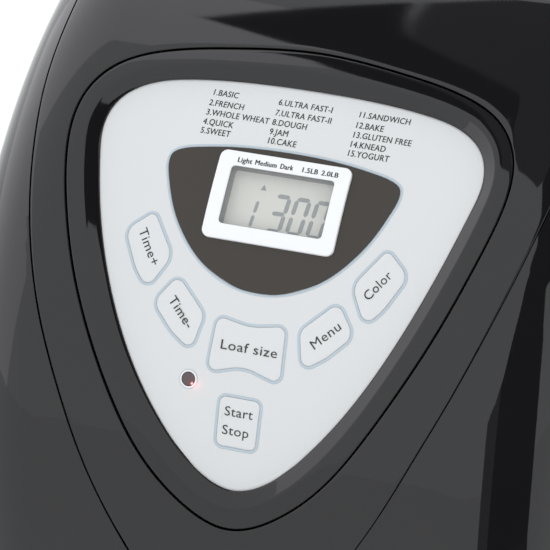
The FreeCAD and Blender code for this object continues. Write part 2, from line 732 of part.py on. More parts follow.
def pan():
    cy = size("oven_y")
    floor = size("pan_floor")
    rim = size("pan_rim")
    wall = size("pan_wall")
    hx = size("pan_half_x")
    hy = size("pan_half_y")
    r = size("pan_corner")
    draft = size("pan_draft")
    outer = rounded_box(hx, hy, r, floor, rim, cy, draft)
    inner = rounded_box(hx - wall, hy - wall, r - wall, floor + wall, rim + 0.01, cy, draft)
    lip = rounded_box(hx + 3, hy + 3, r + 3, rim - 1.5, rim, cy)
    mouth = rounded_box(hx - wall, hy - wall, r - wall, rim - 5, rim + 5, cy)
    shape = outer.cut(inner).fuse(lip.cut(mouth))
    for side in (-1, 1):
        tall = size("pivot_z") - rim + 6.5
        ear = Part.makeBox(2, 16, tall, Vector(side * (hx - 0.2) - 1, cy - 8, rim - 1.5))
        hole = Part.makeCylinder(2.1, 20, Vector(side * hx - 10, cy, size("pivot_z")), Vector(1, 0, 0))
        shape = shape.fuse(ear).cut(hole)
    shape = shape.cut(Part.makeCylinder(8, 20, Vector(0, cy, floor - 5)))
    feature("pan_body", shape)

    foot = less(rod(0, "S.oven_y", "S.oven_floor + 1.3", 40, "S.pan_floor - S.oven_floor - 1.3"),
                rod(0, "S.oven_y", "S.oven_floor - 1", 36, 30))
    name_part(foot, "pan_foot")
    seal = less(rod(0, "S.oven_y", "S.pan_floor - 1.6", 8, 5.6),
                rod(0, "S.oven_y", "S.pan_floor - 4", "S.spindle + 0.05", 20))
    name_part(seal, "pan_seal")

    spindle = less(rod(0, "S.oven_y", "S.pan_floor - 2", "S.spindle", 28),
                   block(3, "S.oven_y - 10", "S.pan_floor + 5", 6, 20, 40))
    name_part(spindle, "pan_spindle")
    disc = rod(0, "S.oven_y", "S.pan_floor - 5", 19, 3)
    pegs = [rod(0, "S.oven_y + 14", "S.oven_floor + 3.2", 3.4, 9),
            rod(0, "S.oven_y - 14", "S.oven_floor + 3.2", 3.4, 9)]
    name_part(joined(disc, *pegs), "pan_coupling")

    pivot = size("pivot_z")
    reach = size("bail_reach")
    bx = size("bail_x")
    rod_radius = size("bail_rod")
    bend = 10
    mid = math.sqrt(0.5)
    tip_y = cy - reach
    points = [Part.LineSegment(Vector(bx, cy, pivot), Vector(bx, tip_y + bend, pivot)),
              Part.Arc(Vector(bx, tip_y + bend, pivot),
                       Vector(bx - bend + bend * mid, tip_y + bend - bend * mid, pivot),
                       Vector(bx - bend, tip_y, pivot)),
              Part.LineSegment(Vector(bx - bend, tip_y, pivot), Vector(-bx + bend, tip_y, pivot)),
              Part.Arc(Vector(-bx + bend, tip_y, pivot),
                       Vector(-bx + bend - bend * mid, tip_y + bend - bend * mid, pivot),
                       Vector(-bx, tip_y + bend, pivot)),
              Part.LineSegment(Vector(-bx, tip_y + bend, pivot), Vector(-bx, cy, pivot))]
    spine = Part.Wire([g.toShape() for g in points])
    section = Part.Wire([Part.Circle(Vector(bx, cy, pivot), Vector(0, 1, 0), rod_radius).toShape()])
    bail = spine.makePipeShell([section], True, True)
    for side in (-1, 1):
        start = 69.5 if side > 0 else -bx
        pin = Part.makeCylinder(2, bx - 69.5, Vector(start, cy, pivot), Vector(1, 0, 0))
        knob = Part.makeSphere(rod_radius, Vector(side * bx, cy, pivot))
        bail = bail.fuse([pin, knob])
    feature("pan_handle", bail)


def kneading_paddle():
    """Hub and swept blade that lifts off the spindle; a flat drives it."""
    cy = size("oven_y")
    low = size("pan_floor") + 6
    hub = Part.makeCone(11, 8.5, 22, Vector(0, cy, low))
    flat = Part.makeBox(6, 20, 60, Vector(3.1, cy - 10, low - 2))
    bore = Part.makeCylinder(size("spindle") + 0.1, 60, Vector(0, cy, low - 2)).cut(flat)
    length = size("paddle_length")
    wires = []
    for x, half, high in ((4, 4, 24), (length * 0.6, 3.2, 21), (length, 2, 9)):
        corners = [Vector(x, cy - half, low), Vector(x, cy + half, low),
                   Vector(x, cy + half * 0.6, low + high), Vector(x, cy - half * 0.6, low + high)]
        wires.append(Part.makePolygon(corners + [corners[0]]))
    blade = Part.makeLoft(wires, True, False)
    feature("kneading_paddle", hub.fuse(blade).cut(bore))


# ---------------------------------------------------------------- drive

def drive_line():
    """Bearing bracket, bushes, shaft, dog and the large wheel under the chamber."""
    hub = rod(0, "S.oven_y", 34, 14, "S.oven_floor - 34")
    arm = block(-70, "S.oven_y - 16", "S.oven_floor - 4", 140, 32, 4)
    name_part(less(joined(hub, arm), rod(0, "S.oven_y", 30, "S.bush", 40)), "drive_bracket")
    bushes = []
    for z in ("35", "S.oven_floor - 9"):
        bushes.append(less(rod(0, "S.oven_y", z, "S.bush", 8),
                           rod(0, "S.oven_y", 30, "S.shaft + 0.03", 40)))
    name_part(group(*bushes), "shaft_bushes")
    name_part(rod(0, "S.oven_y", 14, "S.shaft", "S.oven_floor - 14 + 9"), "drive_shaft")
    boss = rod(0, "S.oven_y", "S.oven_floor + 2", 8, 7)
    wings = block(-17, "S.oven_y - 3", "S.oven_floor + 2", 34, 6, 6)
    dog = less(joined(boss, wings), rod(0, "S.oven_y", 30, "S.shaft", 60))
    name_part(dog, "drive_dog")
    name_part(grooved_wheel("S.oven_y", "S.big_wheel", 10, "S.shaft", 6), "large_pulley")
    name_part(grooved_wheel("S.motor_y", "S.small_wheel", 5, "S.shaft - 1", 0), "motor_pulley")
    drive_belt()


def grooved_wheel(y, radius, hub, bore, holes):
    """A flanged wheel between the belt's two edges, lightened with round holes."""
    base = "S.belt_low - 2"
    rim = rod(0, y, base, radius, "S.belt_wide + 4")
    low_flange = rod(0, y, base, radius + " + 2.6", 1.6)
    high_flange = rod(0, y, "S.belt_low + S.belt_wide + 0.4", radius + " + 2.6", 1.6)
    boss = rod(0, y, base, hub, "S.belt_wide + 6")
    cuts = [rod(0, y, 10, bore, 40)]
    for i in range(holes):
        angle = 2 * math.pi * i / max(holes, 1)
        item = rod(round(28 * math.cos(angle), 3), y + " + %.3f" % (28 * math.sin(angle)), 10, 9, 40)
        cuts.append(item)
    return less(joined(rim, low_flange, high_flange, boss), *cuts)


def belt_wire(extra, level):
    """A tight loop round both wheels, held off them by extra."""
    y1 = size("oven_y")
    y2 = size("motor_y")
    r1 = size("big_wheel") + extra
    r2 = size("small_wheel") + extra
    lean = math.asin((r1 - r2) / (y1 - y2))
    sx = math.cos(lean)
    sy = -math.sin(lean)
    a = Vector(r1 * sx, y1 + r1 * sy, level)
    b = Vector(-r1 * sx, y1 + r1 * sy, level)
    c = Vector(-r2 * sx, y2 + r2 * sy, level)
    d = Vector(r2 * sx, y2 + r2 * sy, level)
    big = Part.Arc(a, Vector(0, y1 + r1, level), b)
    small = Part.Arc(c, Vector(0, y2 - r2, level), d)
    return Part.Wire([big.toShape(), Part.LineSegment(b, c).toShape(), small.toShape(),
                      Part.LineSegment(d, a).toShape()])


def drive_belt():
    low = size("belt_low")
    wide = size("belt_wide")
    gap = size("belt_gap")
    outer = Part.Face(belt_wire(gap + size("belt_thick"), low)).extrude(Vector(0, 0, wide))
    inner = Part.Face(belt_wire(gap, low - 1)).extrude(Vector(0, 0, wide + 2))
    feature("drive_belt", outer.cut(inner))


def motor():
    """Frame of two plates on four rods, wound stator, and a rotor with a cooling fan."""
    my = "S.motor_y"
    low_plate = block(-50, my + " - 40", "S.motor_low", 100, 80, 4)
    high_plate = block(-38, my + " - 36", "S.motor_high", 76, 72, 4)
    tie_rods = []
    for x in (-34, 34):
        for y in (" - 28", " + 28"):
            tie_rods.append(rod(x, my + y, "S.motor_low", 3, "S.motor_high - S.motor_low + 4"))
    bore = rod(0, my, 20, "S.shaft - 0.96", 100)
    name_part(less(joined(low_plate, high_plate, *tie_rods), bore), "motor_frame")
    core = rod(0, my, "S.motor_low + 12", "S.stator", 26)
    coil_low = rod(0, my, "S.motor_low + 5", "S.stator - 3", 40)
    name_part(less(joined(core, coil_low), rod(0, my, 20, "S.rotor + 0.6", 100)), "motor_stator")
    shaft = rod(0, my, 14, "S.shaft - 1", 100)
    body = rod(0, my, "S.motor_low + 8", "S.rotor", 34)
    hub = rod(0, my, "S.motor_high + 8", 9, 10)
    disc = rod(0, my, "S.motor_high + 8", 32, 1.6)
    blades = []
    for i in range(8):
        blade = block(8, my + " - 0.7", "S.motor_high + 8", 23, 1.4, 10)
        angle = 45 * i
        c = math.cos(math.radians(angle))
        s = math.sin(math.radians(angle))
        blade.setExpression("Placement.Base.x", "%.4f" % (8 * c + 0.7 * s))
        blade.setExpression("Placement.Base.y", "Sizes.motor_y + %.4f" % (8 * s - 0.7 * c))
        turned(blade, (0, 0, 1), angle)
        blades.append(blade)
    name_part(joined(shaft, body, hub, disc, *blades), "motor_rotor")
    mounts = []
    for x in ("-42", "42"):
        for y in (" - 32", " + 32"):
            mounts.append(rod(x, my + y, "S.shell_bottom + 28", 7, "S.motor_low - S.shell_bottom - 28"))
    name_part(group(*mounts), "motor_mounts")
    can = rod(76, my + " - 6", "S.shell_bottom + S.base_thick", 15, 46)
    name_part(can, "motor_capacitor")


def power_supply():
    """Upright power board with its transformer and relay, and the cord's inlet bush."""
    name_part(block(-72, -148, "S.shell_bottom + S.base_thick", 1.6, 84, 92), "power_board")
    name_part(joined(block(-98, -138, 26, 26, 34, 30), block(-94, -142, 30, 18, 42, 22)),
              "transformer")
    name_part(group(block(-90, -92, 30, 18, 20, 16), block(-86, -92, 56, 14, 18, 20)),
              "relays")
    x = "S.inlet_x"
    z = "S.inlet_z"
    gland = less(joined(rod(x, 166, z, 7, 10, "Y"), rod(x, 166, z, 10, 7, "Y")),
                 rod(x, 150, z, 3.6, 40, "Y"))
    name_part(gland, "cord_inlet")


def build():
    body_shell()
    front_cover()
    bezel_ring()
    control_panel()
    display_shield()
    display()
    led_lens()
    keys()
    control_board()
    base()
    top_deck()
    lid_outer()
    lid_window()
    lid_liner()
    lid_gasket()
    lid_handle()
    hinge()
    oven_chamber()
    chamber_posts()
    heater()
    temperature_probe()
    pan()
    kneading_paddle()
    drive_line()
    motor()
    power_supply()


build()
doc.recompute()
os.makedirs("parts", exist_ok=True)
for item in doc.Objects:
    bad = [state for state in item.State if state in ("Invalid", "Error")]
    if bad:
        raise RuntimeError("%s failed: %s" % (item.Name, bad))
for item in parts:
    if item.Shape.isNull() or not item.Shape.isValid():
        raise RuntimeError("%s has a bad shape" % item.Label)
    item.Shape.exportStep("parts/%s.step" % item.Label)
print(len(parts), "parts written")
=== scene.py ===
"""Looks of the bread machine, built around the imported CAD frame.

All shapes are worked out in millimetres and written to the meshes in metres.
"""
import json
import math

import bmesh
import bpy
import numpy as np
from mathutils import Matrix, Vector


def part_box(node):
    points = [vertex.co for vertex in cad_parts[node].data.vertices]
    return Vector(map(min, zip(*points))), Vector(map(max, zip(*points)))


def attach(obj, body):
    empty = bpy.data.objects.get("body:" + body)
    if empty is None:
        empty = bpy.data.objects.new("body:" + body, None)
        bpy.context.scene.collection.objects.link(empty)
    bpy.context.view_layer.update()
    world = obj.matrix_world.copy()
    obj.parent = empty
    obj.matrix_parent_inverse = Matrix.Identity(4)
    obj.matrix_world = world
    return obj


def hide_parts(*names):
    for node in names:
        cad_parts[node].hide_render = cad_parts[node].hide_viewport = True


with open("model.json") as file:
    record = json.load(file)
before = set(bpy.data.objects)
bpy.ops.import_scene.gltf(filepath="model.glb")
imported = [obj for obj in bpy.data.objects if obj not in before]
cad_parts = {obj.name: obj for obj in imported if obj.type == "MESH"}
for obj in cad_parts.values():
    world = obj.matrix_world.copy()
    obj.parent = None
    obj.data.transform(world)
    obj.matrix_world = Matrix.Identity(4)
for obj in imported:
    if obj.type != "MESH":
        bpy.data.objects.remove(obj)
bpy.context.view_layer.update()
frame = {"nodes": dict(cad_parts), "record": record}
NODES = frame["nodes"]

MM = 0.001
CURVE_Y, CURVE_Z = 4.0, 110.0          # axis of the big front curve
COVER_R = 180.0                        # outer skin
PANEL_R = 176.1                        # sunk pale panel
WALL = 2.6                             # thickness of the cover
FLAT_HALF, SIDE_ROUND = 72.0, 40.0     # where the skin starts to roll to the sides, and its radius
FACE_TILT = math.radians(57)           # direction of the panel's middle from the curve's axis
DISPLAY_TILT = math.radians(48)        # direction of the display's middle
LID_LINE = -52.5                       # Y at which the cover meets the lid
RING_GROW, RING_GAP = 0.3, 0.5         # the ring beyond its outline, and the line round it
SKIN_GROW = (0.2, 0.45)                # the cover's skin beyond its CAD outline: left, right
FACE_STAR = np.array((0.0, 8.0))       # face point from which the cover's and ring's rays start
RAYS = 720


# ------------------------------------------------------------------ outlines

COVER_HALF = [(92.6, 150), (92.6, 110), (92.8, 85), (92.8, 68), (91.8, 54), (89.2, 38), (85.9, 22),
              (81.8, 6), (77, -9.5), (70.5, -27), (62.5, -45), (53.5, -63.5), (42, -82.5),
              (30, -99), (17.5, -114), (0, -123)]
RING_HALF = [(0, 79.8), (30, 77), (52, 72.6), (67, 65.2), (74.2, 55), (76, 44), (74.4, 31),
             (70, 14.5), (63.9, -3.4), (55.5, -22.5), (45, -42), (31.5, -61.2), (17, -73.6),
             (0, -79.8)]
PANEL_HALF = [(0, 67.4), (22, 66.9), (42, 64.9), (54.5, 61.6), (63.6, 54.5), (66.5, 45), (65, 34.6),
              (60.6, 18), (54, -1.5), (46, -19.8), (36.3, -36.9), (25, -51.8), (12.6, -63.2),
              (0, -67.7)]
SHIELD_HALF = [(0, 44.7), (22, 43.5), (31.5, 42.0), (37.3, 40.4), (39.7, 38.6), (40.2, 35.8),
               (38.9, 30.6), (34.9, 21), (27.6, 10.3), (20, 3.4), (10.2, -1.4), (0, -3)]
TIME_KEY = [(40.7, 18.2, 2.1), (49.5, 10.5, 4.8), (43.2, -1.8, 19), (38, -7.8, 2.8), (31.4, 4.4, 6)]
MENU_KEY = [(28, -1.4, 2.9), (35.1, -11.6, 4.5), (26.9, -20.2, 19), (19.4, -25.3, 2.6),
            (16.6, -12.8, 4.5)]
LOAF_KEY = [(11.9, -12.2, 2.6), (12.8, -31.2, 2.6), (-0.6, -27.3, 14), (-12.9, -31, 2.6),
            (-12, -12.3, 2.6), (-0.3, -14.4, 20)]
START_KEY = [(7.1, -37.7, 2.2), (6.9, -53.8, 2.2), (-6.9, -53.8, 2.2), (-7.1, -37.7, 2.2)]


def flipped(corners):
    return [(-x, y, r) for x, y, r in reversed(corners)]


def mirrored(half):
    return half + [(-x, y) for x, y in reversed(half) if abs(x) > 1e-6]


def smooth_closed(points, samples=720):
    """A periodic cubic spline through the points, by chord length."""
    p = np.array(points, float)
    n = len(p)
    step = np.linalg.norm(np.roll(p, -1, 0) - p, axis=1)
    matrix = np.zeros((n, n))
    rhs = np.zeros((n, 2))
    for i in range(n):
        a, b = step[i - 1], step[i]
        matrix[i, i - 1] += b
        matrix[i, i] += 2 * (a + b)
        matrix[i, (i + 1) % n] += a
        rhs[i] = 3 * (b * (p[i] - p[i - 1]) / a + a * (p[(i + 1) % n] - p[i]) / b)
    slope = np.linalg.solve(matrix, rhs)
    out = []
    per = max(2, samples // n)
    for i in range(n):
        j = (i + 1) % n
        u = np.linspace(0, 1, per, endpoint=False)[:, None]
        h = step[i]
        out.append((2 * u**3 - 3 * u**2 + 1) * p[i] + (u**3 - 2 * u**2 + u) * h * slope[i]
                   + (-2 * u**3 + 3 * u**2) * p[j] + (u**3 - u**2) * h * slope[j])
    return np.vstack(out)


def smooth_open(points, samples=400):
    """A natural cubic spline through the points."""
    p = np.array(points, float)
    n = len(p)
    step = np.linalg.norm(p[1:] - p[:-1], axis=1)
    matrix = np.eye(n)
    rhs = np.zeros((n, 2))
    for i in range(1, n - 1):
        a, b = step[i - 1], step[i]
        matrix[i, i - 1:i + 2] = (b, 2 * (a + b), a)
        rhs[i] = 3 * (b * (p[i] - p[i - 1]) / a + a * (p[i + 1] - p[i]) / b)
    matrix[0, 1], matrix[-1, -2] = 0.5, 0.5
    rhs[0] = 1.5 * (p[1] - p[0]) / step[0]
    rhs[-1] = 1.5 * (p[-1] - p[-2]) / step[-1]
    slope = np.linalg.solve(matrix, rhs)
    out = []
    per = samples // (n - 1)
    for i in range(n - 1):
        u = np.linspace(0, 1, per, endpoint=False)[:, None]
        h = step[i]
        out.append((2 * u**3 - 3 * u**2 + 1) * p[i] + (u**3 - 2 * u**2 + u) * h * slope[i]
                   + (-2 * u**3 + 3 * u**2) * p[i + 1] + (u**3 - u**2) * h * slope[i + 1])
    out.append(p[-1:])
    return np.vstack(out)


def rounded_polygon(corners, per_corner=10):
    """Corner arcs joined by straight sides, clockwise like the corners."""
    out = []
    for i, (x, y, radius) in enumerate(corners):
        point = np.array((x, y), float)
        before = np.array(corners[i - 1][:2], float) - point
        after = np.array(corners[(i + 1) % len(corners)][:2], float) - point
        before /= np.linalg.norm(before)
        after /= np.linalg.norm(after)
        half = math.acos(np.clip(before @ after, -1, 1)) / 2
        inward = (before + after) / np.linalg.norm(before + after)
        centre = point + inward * radius / math.sin(half)
        start = point + before * radius / math.tan(half) - centre
        end = point + after * radius / math.tan(half) - centre
        a0 = math.atan2(start[1], start[0])
        turn = (math.atan2(end[1], end[0]) - a0 + math.pi) % (2 * math.pi) - math.pi
        for k in range(per_corner + 1):
            a = a0 + turn * k / per_corner
            out.append(centre + radius * np.array((math.cos(a), math.sin(a))))
    return np.array(out)


def resampled(loop, count):
    """Evenly spaced points round a closed loop."""
    closed = np.vstack([loop, loop[:1]])
    seg = np.linalg.norm(closed[1:] - closed[:-1], axis=1)
    s = np.concatenate([[0], np.cumsum(seg)])
    u = np.linspace(0, s[-1], count, endpoint=False)
    return np.column_stack([np.interp(u, s, closed[:, 0]), np.interp(u, s, closed[:, 1])])


def outward(loop):
    """Unit normals pointing out of a clockwise loop."""
    d = np.roll(loop, -1, 0) - np.roll(loop, 1, 0)
    d /= np.linalg.norm(d, axis=1)[:, None]
    return np.column_stack([-d[:, 1], d[:, 0]])


# ------------------------------------------------------------------ surfaces

def drop(x):
    """How far the skin has rolled inwards at a distance x from the middle."""
    past = np.clip(np.abs(x) - FLAT_HALF, 0, SIDE_ROUND)
    return SIDE_ROUND - np.sqrt(SIDE_ROUND**2 - past**2)


def on_skin(x, t, depth):
    """Face coordinates (across, up the face) carried along the face's normal to the skin."""
    x, t, depth = np.broadcast_arrays(np.asarray(x, float), t, depth)
    radius = COVER_R - depth - drop(x)
    s, c = math.sin(FACE_TILT), math.cos(FACE_TILT)
    n = np.sqrt(np.maximum(radius**2 - t**2, 1.0))
    below = t < -radius * c
    n = np.where(below, (radius + t * c) / s, n)
    return face_to_world(x, t, n)


def face_to_world(x, t, n, tilt=FACE_TILT):
    s, c = math.sin(tilt), math.cos(tilt)
    return np.stack([x, CURVE_Y + t * c - n * s, CURVE_Z + t * s + n * c], axis=-1) * MM


def on_panel(x, v, height=0.0, centre=DISPLAY_TILT):
    """Across and arc length up the panel's own curve, measured from the display's middle."""
    angle = centre - np.asarray(v, float) / PANEL_R
    r = PANEL_R + height
    return np.stack(np.broadcast_arrays(x, CURVE_Y - r * np.sin(angle),
                                        CURVE_Z + r * np.cos(angle)), axis=-1) * MM


def face_on_panel(x, t, height=0.0):
    """Face coordinates carried along the face's normal to the panel's curve."""
    r = PANEL_R + height
    t = np.asarray(t, float)
    return face_to_world(*np.broadcast_arrays(x, t, np.sqrt(r**2 - t**2)))


# ------------------------------------------------------------------ mesh makers

def new_object(name, mesh, body, material, replaces=()):
    piece = bpy.data.objects.new(name, mesh)
    bpy.context.scene.collection.objects.link(piece)
    mesh.materials.append(material)
    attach(piece, body)
    if replaces:
        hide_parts(*replaces)
    return piece


def shade_smooth(mesh, angle=None):
    mesh.polygons.foreach_set("use_smooth", [True] * len(mesh.polygons))
    if angle is not None:
        mesh.set_sharp_from_angle(angle=math.radians(angle))


def torus_mesh(name, grid, sharp=40):
    """A closed mesh from a grid whose rows and columns both join up."""
    rows, cols = grid.shape[:2]
    index = np.arange(rows * cols).reshape(rows, cols)
    right = np.roll(index, -1, 1)
    down = np.roll(index, -1, 0)
    both = np.roll(down, -1, 1)
    faces = np.stack([index, right, both, down], -1).reshape(-1, 4)
    mesh = bpy.data.meshes.new(name)
    mesh.from_pydata(grid.reshape(-1, 3).tolist(), [], faces.tolist())
    fix_normals(mesh)
    shade_smooth(mesh, sharp)
    return mesh


def capped_mesh(name, grid, sharp=40):
    """Rings stacked along the first index, joined round, with both ends closed."""
    rows, cols = grid.shape[:2]
    index = np.arange(rows * cols).reshape(rows, cols)
    nxt = np.roll(index, -1, 1)
    faces = np.stack([index[:-1], nxt[:-1], nxt[1:], index[1:]], -1).reshape(-1, 4).tolist()
    faces.append(index[0].tolist())
    faces.append(index[-1].tolist()[::-1])
    mesh = bpy.data.meshes.new(name)
    mesh.from_pydata(grid.reshape(-1, 3).tolist(), [], faces)
    fix_normals(mesh)
    shade_smooth(mesh, sharp)
    return mesh


def fix_normals(mesh):
    bm = bmesh.new()
    bm.from_mesh(mesh)
    bmesh.ops.recalc_face_normals(bm, faces=bm.faces)
    bm.to_mesh(mesh)
    bm.free()
    mesh.update()


# ------------------------------------------------------------------ materials

BUMP_DEPTH, BUMP_DETAIL = 0.0004, 3.0
SPREAD_SCALE, SPREAD_DETAIL = 22.0, 5.0
TINT_SCALE, TINT_DETAIL = 35.0, 2.0
SMOOTHEST = 0.02


def add_noise(tree, place, scale, detail):
    noise = tree.nodes.new("ShaderNodeTexNoise")
    noise.inputs["Scale"].default_value = scale
    noise.inputs["Detail"].default_value = detail
    tree.links.new(place.outputs["Object"], noise.inputs["Vector"])
    return noise


def add_bump(tree, place, principled, strength, scale):
    noise = add_noise(tree, place, scale, BUMP_DETAIL)
    bump = tree.nodes.new("ShaderNodeBump")
    bump.inputs["Strength"].default_value = strength
    bump.inputs["Distance"].default_value = BUMP_DEPTH
    tree.links.new(noise.outputs["Fac"], bump.inputs["Height"])
    tree.links.new(bump.outputs["Normal"], principled.inputs["Normal"])


def add_rough_spread(tree, place, principled, roughness, spread):
    cloud = add_noise(tree, place, SPREAD_SCALE, SPREAD_DETAIL)
    limits = tree.nodes.new("ShaderNodeMapRange")
    limits.inputs["To Min"].default_value = max(SMOOTHEST, roughness - spread)
    limits.inputs["To Max"].default_value = roughness + spread
    tree.links.new(cloud.outputs["Fac"], limits.inputs["Value"])
    tree.links.new(limits.outputs["Result"], principled.inputs["Roughness"])


def add_tint(tree, place, principled, color, tint):
    patch = add_noise(tree, place, TINT_SCALE, TINT_DETAIL)
    mix = tree.nodes.new("ShaderNodeMix")
    mix.data_type = "RGBA"
    mix.inputs["A"].default_value = (*[c * (1 - tint) for c in color], 1)
    mix.inputs["B"].default_value = (*[min(1, c * (1 + tint)) for c in color], 1)
    tree.links.new(patch.outputs["Fac"], mix.inputs["Factor"])
    tree.links.new(mix.outputs["Result"], principled.inputs["Base Color"])


def shader(name, color, roughness=0.4, metallic=0.0, coat=0.0, bump=0.0, bump_scale=400.0,
           rough_spread=0.0, tint=0.0, transmission=0.0, ior=1.5, anisotropic=0.0,
           emission=None, strength=0.0, specular=0.5, alpha=1.0):
    """Principled shader with fine bump, uneven roughness and slight colour variation."""
    material = bpy.data.materials.new(name)
    material.use_nodes = True
    tree = material.node_tree
    principled = tree.nodes["Principled BSDF"]
    sockets = {
        "Base Color": (*color, 1), "Roughness": roughness, "Metallic": metallic,
        "Coat Weight": coat, "Coat Roughness": 0.05, "Transmission Weight": transmission,
        "IOR": ior, "Anisotropic": anisotropic, "Specular IOR Level": specular, "Alpha": alpha,
    }
    if emission:
        sockets["Emission Color"] = (*emission, 1)
        sockets["Emission Strength"] = strength
    for socket, value in sockets.items():
        principled.inputs[socket].default_value = value
    place = tree.nodes.new("ShaderNodeTexCoord")
    if bump:
        add_bump(tree, place, principled, bump, bump_scale)
    if rough_spread:
        add_rough_spread(tree, place, principled, roughness, rough_spread)
    if tint:
        add_tint(tree, place, principled, color, tint)
    return material


M = {
    "gloss_black": shader("gloss_black", (0.0078, 0.0076, 0.0084), 0.032, coat=0.0, bump=0.004,
                          bump_scale=1400, rough_spread=0.015, tint=0.06),
    "black_satin": shader("black_satin", (0.03, 0.03, 0.032), 0.45, bump=0.25, bump_scale=2200,
                          rough_spread=0.05, tint=0.08),
    "panel_white": shader("panel_white", (0.625, 0.637, 0.641), 0.38, bump=0.04, bump_scale=1800,
                          rough_spread=0.04, tint=0.012),
    "key_white": shader("key_white", (0.634, 0.646, 0.65), 0.36, bump=0.04, bump_scale=1800,
                        rough_spread=0.04, tint=0.012),
    "bezel_white": shader("bezel_white", (0.80, 0.81, 0.82), 0.3, bump=0.03, bump_scale=1800,
                          rough_spread=0.04, tint=0.01),
    "outline_blue": shader("outline_blue", (0.43, 0.50, 0.555), 0.4, bump=0.05, bump_scale=1500,
                           tint=0.03),
    "ink": shader("ink", (0.02, 0.02, 0.022), 0.5, bump=0.05, bump_scale=3000, tint=0.1),
    "shield_brown": shader("shield_brown", (0.042, 0.036, 0.0295), 0.32, bump=0.03, bump_scale=1600,
                           rough_spread=0.04, tint=0.05, specular=0.3),
    "clear": shader("clear", (0.9, 0.92, 0.9), 0.04, rough_spread=0.01, alpha=0.07),
    "lcd": shader("lcd", (0.60, 0.60, 0.56), 0.45, bump=0.02, bump_scale=900, tint=0.03),
    # grey for the display window's walls: painted shade, standing in for the shadow inside the
    # recess
    "window_wall_painted_shade": shader("window_wall_painted_shade", (0.20, 0.205, 0.21), 0.5, bump=0.05, tint=0.05),
    "lcd_ink": shader("lcd_ink", (0.22, 0.24, 0.25), 0.5, tint=0.05),
    "led_red": shader("led_red", (0.075, 0.042, 0.048), 0.15, coat=0.5, tint=0.1),
    "led_glow": shader("led_glow", (0.9, 0.2, 0.2), 0.3, emission=(1.0, 0.22, 0.22), strength=2.5),
    "board_green": shader("board_green", (0.02, 0.11, 0.05), 0.4, bump=0.1, tint=0.1),
    "electronics": shader("electronics", (0.05, 0.05, 0.055), 0.5, bump=0.1, tint=0.1),
    "rubber": shader("rubber", (0.02, 0.02, 0.02), 0.75, bump=0.3, bump_scale=1500, tint=0.15),
    "gasket": shader("gasket", (0.24, 0.23, 0.21), 0.6, bump=0.1, tint=0.08),
    "steel": shader("steel", (0.55, 0.55, 0.55), 0.28, metallic=1.0, bump=0.05, bump_scale=900,
                    rough_spread=0.08, anisotropic=0.3),
    "aluminised": shader("aluminised", (0.52, 0.52, 0.51), 0.36, metallic=1.0, bump=0.12,
                         bump_scale=260, rough_spread=0.1, tint=0.05),
    "nonstick": shader("nonstick", (0.045, 0.045, 0.048), 0.42, bump=0.25, bump_scale=1300,
                       rough_spread=0.08, tint=0.12),
    "heater_metal": shader("heater_metal", (0.16, 0.15, 0.14), 0.5, metallic=0.8, bump=0.2,
                           bump_scale=900, rough_spread=0.1, tint=0.2),
    "ceramic": shader("ceramic", (0.8, 0.78, 0.72), 0.2, coat=0.3, tint=0.03),
    "bronze": shader("bronze", (0.55, 0.33, 0.14), 0.4, metallic=1.0, bump=0.2, tint=0.1),
    "cast_alloy": shader("cast_alloy", (0.5, 0.5, 0.5), 0.5, metallic=1.0, bump=0.3,
                         bump_scale=700, rough_spread=0.1),
    "copper": shader("copper", (0.5, 0.2, 0.09), 0.4, metallic=1.0, bump=0.4, bump_scale=1500),
    "belt": shader("belt", (0.015, 0.015, 0.015), 0.7, bump=0.3, bump_scale=1200),
    "smoked_glass": shader("smoked_glass", (0.12, 0.12, 0.125), 0.04, transmission=0.85,
                           ior=1.45, coat=0.2),
    "nylon": shader("nylon", (0.68, 0.66, 0.6), 0.45, bump=0.1, tint=0.05),
}
SLOT_OF = {row["node"]: row["material_slot"] for row in frame["record"]["subparts"]}
for node, piece in NODES.items():
    piece.data.materials.clear()
    piece.data.materials.append(M[SLOT_OF[node]])
    shade_smooth(piece.data, 32)


# ------------------------------------------------------------------ front cover and ring

def polar_radius(loop, centre, angles):
    """Distance from the centre to a star shaped loop, at each angle."""
    rel = loop - centre
    a = np.unwrap(np.arctan2(rel[:, 1], rel[:, 0]))
    r = np.hypot(rel[:, 0], rel[:, 1])
    if a[-1] < a[0]:
        a, r = a[::-1], r[::-1]
    a = np.concatenate([a - 2 * math.pi, a, a + 2 * math.pi])
    r = np.concatenate([r, r, r])
    return np.interp(angles, a, r)


SIDE_TOP = 126.0                       # the side seams are followed up the face to here


def lid_height(x):
    """How far up the face the skin meets the lid's line, at a distance x from the middle."""
    radius = COVER_R - float(drop(x))
    return radius * math.sin(FACE_TILT - math.asin((CURVE_Y - LID_LINE) / radius))


def lid_reach(angle):
    """How far a ray across the face goes before it meets the lid's line."""
    low, high = 20.0, 220.0
    for _ in range(40):
        middle = (low + high) / 2
        x, t = FACE_STAR + middle * np.array((math.cos(angle), math.sin(angle)))
        low, high = (low, middle) if t >= lid_height(x) else (middle, high)
    return low


def cover_rays():
    """Ray angles with one through each corner at the lid, and the right-hand corner's angle."""
    corner_x = COVER_HALF[0][0]
    corner = math.atan2(lid_height(corner_x) - FACE_STAR[1], corner_x - FACE_STAR[0])
    angles = np.linspace(0, 2 * math.pi, RAYS, endpoint=False)
    for special in (corner, math.pi - corner):
        angles[np.argmin(np.abs(angles - special))] = special
    return angles, corner


